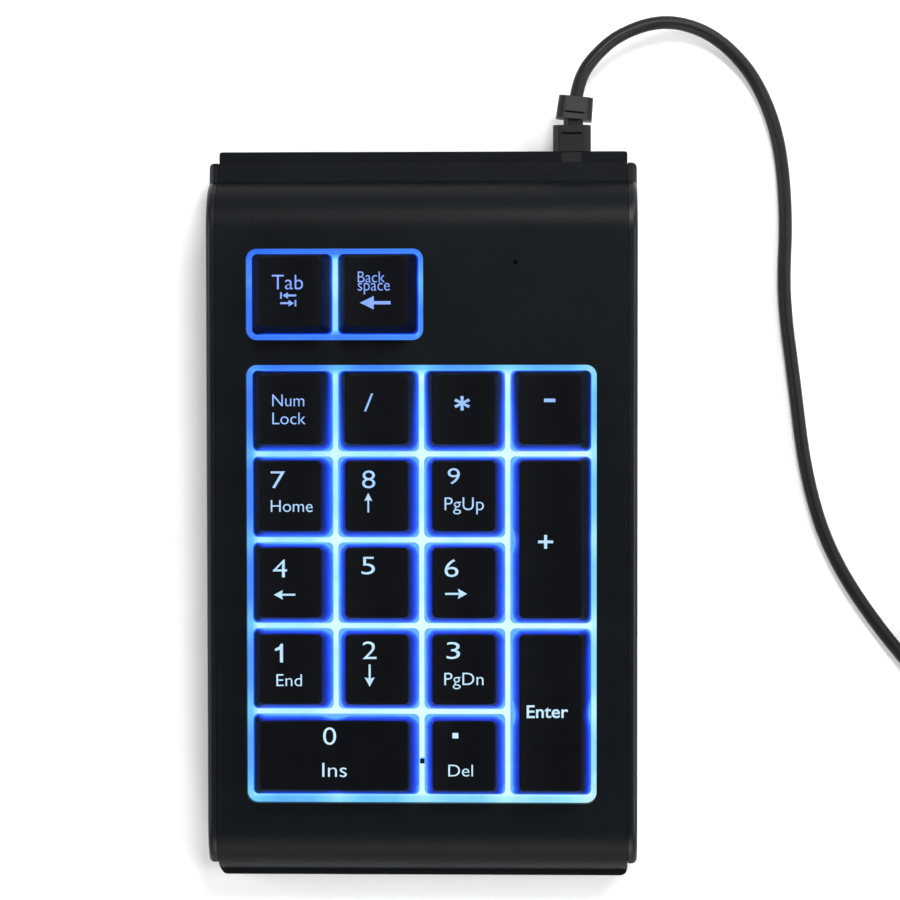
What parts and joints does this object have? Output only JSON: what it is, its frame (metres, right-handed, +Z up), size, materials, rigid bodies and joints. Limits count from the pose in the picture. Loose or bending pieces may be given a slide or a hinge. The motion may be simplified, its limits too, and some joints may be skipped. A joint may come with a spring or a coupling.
{
  "type": "numeric keypad",
  "caption": "Wired backlit numeric keypad with a sloping case, full-travel keys in two windows, side cheeks, slotted strain relief and a USB lead.",
  "frame": {"origin": "on the table, under the middle of the case", "axes": "+X to the right as the user sees it, +Y to the rear, +Z up"},
  "size_m": [0.2127, 0.1934, 0.0301],
  "materials": {
    "case_black": "fine leather-like moulded grain, satin",
    "cheek_black": "smooth satin black",
    "keycap_black": "fine matt grain with laser-cut legends",
    "guide_white": "translucent white, lit from below",
    "rubber_black": "matt",
    "cable_black": "semi-gloss soft PVC",
    "tie_black": "woven hook-and-loop",
    "silicone_clear": "translucent",
    "film_clear": "clear polyester",
    "acrylic_clear": "polished clear acrylic",
    "steel": "zinc plated",
    "board_green": "solder mask",
    "chip_black": "moulded epoxy",
    "light_blue": "blue-white diode",
    "light_lens": "diffused lens, unlit",
    "connector_white": "nylon",
    "nickel": "bright nickel plate",
    "gold": "gold flash"
  },
  "bodies": {
    "case": {"backlight_leds": "light_blue", "base_shell": "case_black", "board_screws": "steel", "cable": "cable_black", "cable_coil": "cable_black", "cable_inner_end": "cable_black", "cable_socket": "connector_white", "cable_tail": "cable_black", "cable_tie": "tie_black", "case_screws": "steel", "controller_board": "board_green", "controller_chip": "chip_black", "dome_sheet": "silicone_clear", "key_guide_plate": "guide_white", "left_side_cheek": "cheek_black", "light_guide": "acrylic_clear", "light_strip_board": "board_green", "membrane_lower_film": "film_clear", "membrane_spacer_film": "film_clear", "membrane_tail": "film_clear", "membrane_upper_film": "film_clear", "num_lock_light": "light_lens", "plate_screws": "steel", "right_side_cheek": "cheek_black", "rubber_feet": "rubber_black", "strain_relief": "cable_black", "support_plate": "steel", "top_cover": "case_black", "usb_contacts": "gold", "usb_plug_grip": "cable_black", "usb_plug_shell": "nickel", "usb_plug_tongue": "connector_white"},
    "key_tab": {"key_tab": "keycap_black"},
    "key_backspace": {"key_backspace": "keycap_black"},
    "key_num_lock": {"key_num_lock": "keycap_black"},
    "key_divide": {"key_divide": "keycap_black"},
    "key_multiply": {"key_multiply": "keycap_black"},
    "key_minus": {"key_minus": "keycap_black"},
    "key_7": {"key_7": "keycap_black"},
    "key_8": {"key_8": "keycap_black"},
    "key_9": {"key_9": "keycap_black"},
    "key_plus": {"key_plus": "keycap_black"},
    "key_4": {"key_4": "keycap_black"},
    "key_5": {"key_5": "keycap_black"},
    "key_6": {"key_6": "keycap_black"},
    "key_1": {"key_1": "keycap_black"},
    "key_2": {"key_2": "keycap_black"},
    "key_3": {"key_3": "keycap_black"},
    "key_enter": {"key_enter": "keycap_black"},
    "key_0": {"key_0": "keycap_black"},
    "key_decimal": {"key_decimal": "keycap_black"},
    "stabiliser_plus": {"stabiliser_wire_plus": "steel"},
    "stabiliser_enter": {"stabiliser_wire_enter": "steel"},
    "stabiliser_zero": {"stabiliser_wire_zero": "steel"}
  },
  "joints": [
    {"name": "press_tab", "type": "slide", "parent": "case", "child": "key_tab", "axis": [0, 0.0384, -0.9993], "range_m": [0, 0.003], "stiffness_N_per_m": 150, "springref_m": -0.001, "deforming": ["dome_sheet"]},
    {"name": "press_backspace", "type": "slide", "parent": "case", "child": "key_backspace", "axis": [0, 0.0384, -0.9993], "range_m": [0, 0.003], "stiffness_N_per_m": 150, "springref_m": -0.001, "deforming": ["dome_sheet"]},
    {"name": "press_num_lock", "type": "slide", "parent": "case", "child": "key_num_lock", "axis": [0, 0.0384, -0.9993], "range_m": [0, 0.003], "stiffness_N_per_m": 150, "springref_m": -0.001, "deforming": ["dome_sheet"]},
    {"name": "press_divide", "type": "slide", "parent": "case", "child": "key_divide", "axis": [0, 0.0384, -0.9993], "range_m": [0, 0.003], "stiffness_N_per_m": 150, "springref_m": -0.001, "deforming": ["dome_sheet"]},
    {"name": "press_multiply", "type": "slide", "parent": "case", "child": "key_multiply", "axis": [0, 0.0384, -0.9993], "range_m": [0, 0.003], "stiffness_N_per_m": 150, "springref_m": -0.001, "deforming": ["dome_sheet"]},
    {"name": "press_minus", "type": "slide", "parent": "case", "child": "key_minus", "axis": [0, 0.0384, -0.9993], "range_m": [0, 0.003], "stiffness_N_per_m": 150, "springref_m": -0.001, "deforming": ["dome_sheet"]},
    {"name": "press_7", "type": "slide", "parent": "case", "child": "key_7", "axis": [0, 0.0384, -0.9993], "range_m": [0, 0.003], "stiffness_N_per_m": 150, "springref_m": -0.001, "deforming": ["dome_sheet"]},
    {"name": "press_8", "type": "slide", "parent": "case", "child": "key_8", "axis": [0, 0.0384, -0.9993], "range_m": [0, 0.003], "stiffness_N_per_m": 150, "springref_m": -0.001, "deforming": ["dome_sheet"]},
    {"name": "press_9", "type": "slide", "parent": "case", "child": "key_9", "axis": [0, 0.0384, -0.9993], "range_m": [0, 0.003], "stiffness_N_per_m": 150, "springref_m": -0.001, "deforming": ["dome_sheet"]},
    {"name": "press_plus", "type": "slide", "parent": "case", "child": "key_plus", "axis": [0, 0.0384, -0.9993], "range_m": [0, 0.003], "stiffness_N_per_m": 150, "springref_m": -0.001, "deforming": ["dome_sheet"]},
    {"name": "press_4", "type": "slide", "parent": "case", "child": "key_4", "axis": [0, 0.0384, -0.9993], "range_m": [0, 0.003], "stiffness_N_per_m": 150, "springref_m": -0.001, "deforming": ["dome_sheet"]},
    {"name": "press_5", "type": "slide", "parent": "case", "child": "key_5", "axis": [0, 0.0384, -0.9993], "range_m": [0, 0.003], "stiffness_N_per_m": 150, "springref_m": -0.001, "deforming": ["dome_sheet"]},
    {"name": "press_6", "type": "slide", "parent": "case", "child": "key_6", "axis": [0, 0.0384, -0.9993], "range_m": [0, 0.003], "stiffness_N_per_m": 150, "springref_m": -0.001, "deforming": ["dome_sheet"]},
    {"name": "press_1", "type": "slide", "parent": "case", "child": "key_1", "axis": [0, 0.0384, -0.9993], "range_m": [0, 0.003], "stiffness_N_per_m": 150, "springref_m": -0.001, "deforming": ["dome_sheet"]},
    {"name": "press_2", "type": "slide", "parent": "case", "child": "key_2", "axis": [0, 0.0384, -0.9993], "range_m": [0, 0.003], "stiffness_N_per_m": 150, "springref_m": -0.001, "deforming": ["dome_sheet"]},
    {"name": "press_3", "type": "slide", "parent": "case", "child": "key_3", "axis": [0, 0.0384, -0.9993], "range_m": [0, 0.003], "stiffness_N_per_m": 150, "springref_m": -0.001, "deforming": ["dome_sheet"]},
    {"name": "press_enter", "type": "slide", "parent": "case", "child": "key_enter", "axis": [0, 0.0384, -0.9993], "range_m": [0, 0.003], "stiffness_N_per_m": 150, "springref_m": -0.001, "deforming": ["dome_sheet"]},
    {"name": "press_0", "type": "slide", "parent": "case", "child": "key_0", "axis": [0, 0.0384, -0.9993], "range_m": [0, 0.003], "stiffness_N_per_m": 150, "springref_m": -0.001, "deforming": ["dome_sheet"]},
    {"name": "press_decimal", "type": "slide", "parent": "case", "child": "key_decimal", "axis": [0, 0.0384, -0.9993], "range_m": [0, 0.003], "stiffness_N_per_m": 150, "springref_m": -0.001, "deforming": ["dome_sheet"]},
    {"name": "stabiliser_plus_turn", "type": "hinge", "parent": "case", "child": "stabiliser_plus", "pos_m": [0.02287, -0.00541, 0.01699], "axis": [0, 0.9993, 0.0384], "range_deg": [0, 21.97]},
    {"name": "stabiliser_enter_turn", "type": "hinge", "parent": "case", "child": "stabiliser_enter", "pos_m": [0.02287, -0.04348, 0.01553], "axis": [0, 0.9993, 0.0384], "range_deg": [0, 21.97]},
    {"name": "stabiliser_zero_turn", "type": "hinge", "parent": "case", "child": "stabiliser_zero", "pos_m": [-0.01905, -0.0587, 0.01494], "axis": [-1, 0, 0], "range_deg": [0, 21.97]}
  ],
  "couplings": [
    {"joint": "stabiliser_plus_turn", "follows": "press_plus", "rad_per_m": 127.53},
    {"joint": "stabiliser_enter_turn", "follows": "press_enter", "rad_per_m": 127.53},
    {"joint": "stabiliser_zero_turn", "follows": "press_0", "rad_per_m": 127.53}
  ]
}
